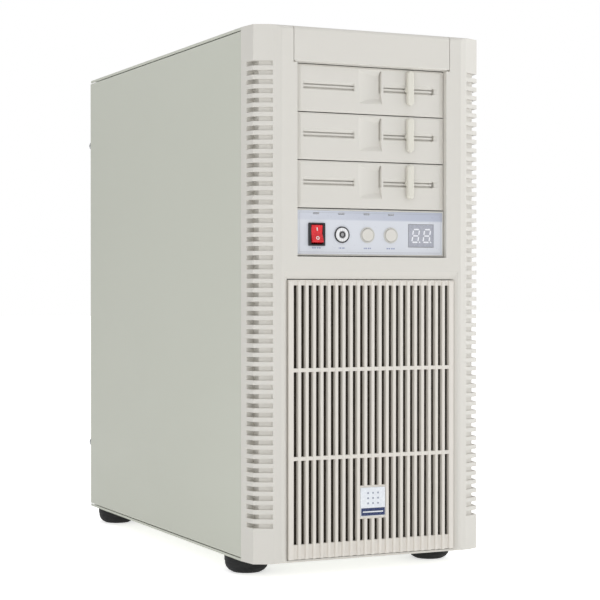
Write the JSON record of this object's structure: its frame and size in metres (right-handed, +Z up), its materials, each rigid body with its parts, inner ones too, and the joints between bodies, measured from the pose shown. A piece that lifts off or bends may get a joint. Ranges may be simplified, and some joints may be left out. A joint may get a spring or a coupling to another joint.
{
  "type": "desktop computer tower",
  "caption": "Beige desktop computer tower with ribbed front corners, covered drive bays, a control panel, a barred intake grille and sliding side panels over a full interior.",
  "frame": {"origin": "middle of the base, on the floor under the feet", "axes": "+Z up, -Y the front with the grille, +X to the right of someone facing the front"},
  "size_m": [0.2314, 0.4668, 0.4868],
  "materials": {
    "case_plastic": "fine moulded grain",
    "case_paint": "fine powder texture",
    "frame_steel": "zinc coated sheet",
    "panel_plastic": "smooth",
    "printed_film": "satin film",
    "red_plastic": "glossy translucent",
    "black_plastic": "fine grain",
    "grey_plastic": "smooth",
    "clear_plastic": "polished",
    "chrome_metal": "polished",
    "bright_aluminium": "machined",
    "foot_rubber": "matt",
    "filter_mesh": "fine dark mesh",
    "circuit_board": "solder mask",
    "badge_face": "domed"
  },
  "bodies": {
    "chassis": {"badge": "badge_face", "bay_cage": "frame_steel", "bay_cover_1": "case_plastic", "bay_cover_2": "case_plastic", "bay_cover_3": "case_plastic", "board_heatsinks": "bright_aluminium", "board_sockets": "black_plastic", "bottom_pan": "case_paint", "control_board": "circuit_board", "control_label": "printed_film", "control_panel_plate": "panel_plastic", "cpu_fan_frame": "black_plastic", "cpu_heatsink": "bright_aluminium", "display_module": "grey_plastic", "drive_tray": "frame_steel", "dust_filter": "filter_mesh", "expansion_card": "circuit_board", "feet": "foot_rubber", "front_bezel": "case_plastic", "front_fan_frames": "black_plastic", "front_grille": "case_plastic", "front_io_module": "black_plastic", "front_steel_panel": "frame_steel", "hard_drive": "bright_aluminium", "indicator_windows": "clear_plastic", "io_ports": "frame_steel", "io_shield": "frame_steel", "lock_body": "chrome_metal", "memory_modules": "circuit_board", "motherboard": "circuit_board", "motherboard_tray": "frame_steel", "power_inlet": "black_plastic", "psu_board": "circuit_board", "psu_case": "frame_steel", "psu_fan_guard": "frame_steel", "rear_fan_frame": "black_plastic", "rear_panel": "frame_steel", "rocker_frame": "black_plastic", "screws": "frame_steel", "slot_covers": "frame_steel", "top_deck": "frame_steel", "top_panel": "case_paint"},
    "top_flap": {"top_flap": "case_plastic"},
    "latch_lever_1": {"latch_lever_1": "case_plastic"},
    "latch_lever_2": {"latch_lever_2": "case_plastic"},
    "latch_lever_3": {"latch_lever_3": "case_plastic"},
    "rocker_switch": {"rocker_switch": "red_plastic"},
    "lock_cylinder": {"lock_cylinder": "chrome_metal"},
    "reset_button": {"reset_button": "case_plastic"},
    "turbo_button": {"turbo_button": "case_plastic"},
    "front_fan_rotor_lower": {"front_fan_rotor_lower": "black_plastic"},
    "front_fan_rotor_upper": {"front_fan_rotor_upper": "black_plastic"},
    "rear_fan_rotor": {"rear_fan_rotor": "black_plastic"},
    "cpu_fan_rotor": {"cpu_fan_rotor": "black_plastic"},
    "psu_fan_rotor": {"psu_fan_rotor": "black_plastic"},
    "psu_switch": {"psu_switch": "black_plastic"},
    "left_side_panel": {"left_side_panel": "case_paint", "thumb_screws_left": "chrome_metal"},
    "right_side_panel": {"right_side_panel": "case_paint", "thumb_screws_right": "chrome_metal"}
  },
  "joints": [
    {"name": "flap_hinge", "type": "hinge", "parent": "chassis", "child": "top_flap", "pos_m": [0, -0.2049, 0.4848], "axis": [-1, 0, 0], "range_deg": [0, 90]},
    {"name": "latch_1_turn", "type": "hinge", "parent": "chassis", "child": "latch_lever_1", "pos_m": [0.0379, -0.2289, 0.43605], "axis": [0, 1, 0], "range_deg": [0, 90]},
    {"name": "latch_2_turn", "type": "hinge", "parent": "chassis", "child": "latch_lever_2", "pos_m": [0.0379, -0.2289, 0.39365], "axis": [0, 1, 0], "range_deg": [0, 90]},
    {"name": "latch_3_turn", "type": "hinge", "parent": "chassis", "child": "latch_lever_3", "pos_m": [0.0379, -0.2289, 0.35125], "axis": [0, 1, 0], "range_deg": [0, 90]},
    {"name": "rocker_tilt", "type": "hinge", "parent": "chassis", "child": "rocker_switch", "pos_m": [-0.0546, -0.225, 0.3042], "axis": [1, 0, 0], "range_deg": [0, 20]},
    {"name": "lock_turn", "type": "hinge", "parent": "chassis", "child": "lock_cylinder", "pos_m": [-0.0295, -0.2239, 0.3042], "axis": [0, 1, 0], "range_deg": [0, 90]},
    {"name": "reset_press", "type": "slide", "parent": "chassis", "child": "reset_button", "axis": [0, 1, 0], "range_m": [0, 0.002], "stiffness_N_per_m": 300, "springref_m": -0.002},
    {"name": "turbo_press", "type": "slide", "parent": "chassis", "child": "turbo_button", "axis": [0, 1, 0], "range_m": [0, 0.002], "stiffness_N_per_m": 300, "springref_m": -0.002},
    {"name": "front_fan_lower_spin", "type": "hinge", "parent": "chassis", "child": "front_fan_rotor_lower", "pos_m": [0, -0.1869, 0.0875], "axis": [0, 1, 0], "continuous": true},
    {"name": "front_fan_upper_spin", "type": "hinge", "parent": "chassis", "child": "front_fan_rotor_upper", "pos_m": [0, -0.1869, 0.2115], "axis": [0, 1, 0], "continuous": true},
    {"name": "rear_fan_spin", "type": "hinge", "parent": "chassis", "child": "rear_fan_rotor", "pos_m": [-0.019, 0.2101, 0.3935], "axis": [0, 1, 0], "continuous": true},
    {"name": "cpu_fan_spin", "type": "hinge", "parent": "chassis", "child": "cpu_fan_rotor", "pos_m": [0.012, 0.0431, 0.3875], "axis": [0, 1, 0], "continuous": true},
    {"name": "psu_fan_spin", "type": "hinge", "parent": "chassis", "child": "psu_fan_rotor", "pos_m": [0.005, 0.1441, 0.1005], "axis": [0, 0, 1], "continuous": true},
    {"name": "psu_switch_tilt", "type": "hinge", "parent": "chassis", "child": "psu_switch", "pos_m": [0.027, 0.2203, 0.0695], "axis": [-1, 0, 0], "range_deg": [0, 18]},
    {"name": "left_panel_slide", "type": "slide", "parent": "chassis", "child": "left_side_panel", "axis": [0, 1, 0], "range_m": [0, 0.4]},
    {"name": "right_panel_slide", "type": "slide", "parent": "chassis", "child": "right_side_panel", "axis": [0, 1, 0], "range_m": [0, 0.4]}
  ]
}
